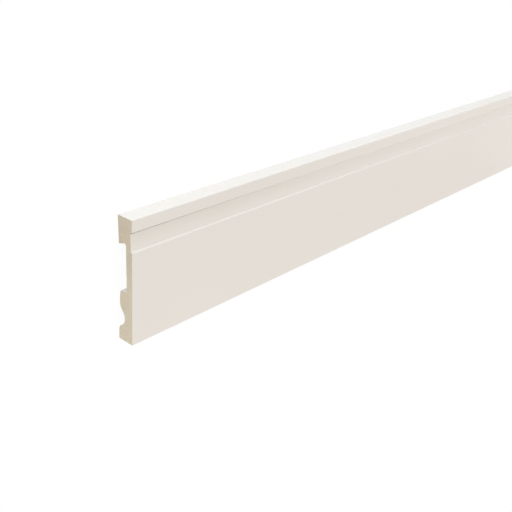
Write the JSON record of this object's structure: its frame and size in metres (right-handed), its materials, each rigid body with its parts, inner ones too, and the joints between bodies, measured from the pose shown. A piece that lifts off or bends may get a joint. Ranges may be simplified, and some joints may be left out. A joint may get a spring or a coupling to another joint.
{
  "type": "skirting board length",
  "caption": "Straight length of white skirting board with a flat top band, a shallow recess and bevelled ledge under it, and a back hollowed to a thin web.",
  "frame": {"origin": "centre of the length and height of the board, on the plane of its back, which rests on the floor or lies on the wall", "axes": "+X along the length, +Y from the bottom edge to the moulded top edge, +Z out of the show face"},
  "size_m": [2, 0.1, 0.015],
  "materials": {
    "white_coated_polymer": "satin warm white coat on all the long faces, and the cream core bare on the two sawn ends"
  },
  "bodies": {
    "root": {"skirting_length": "white_coated_polymer"}
  },
  "joints": []
}
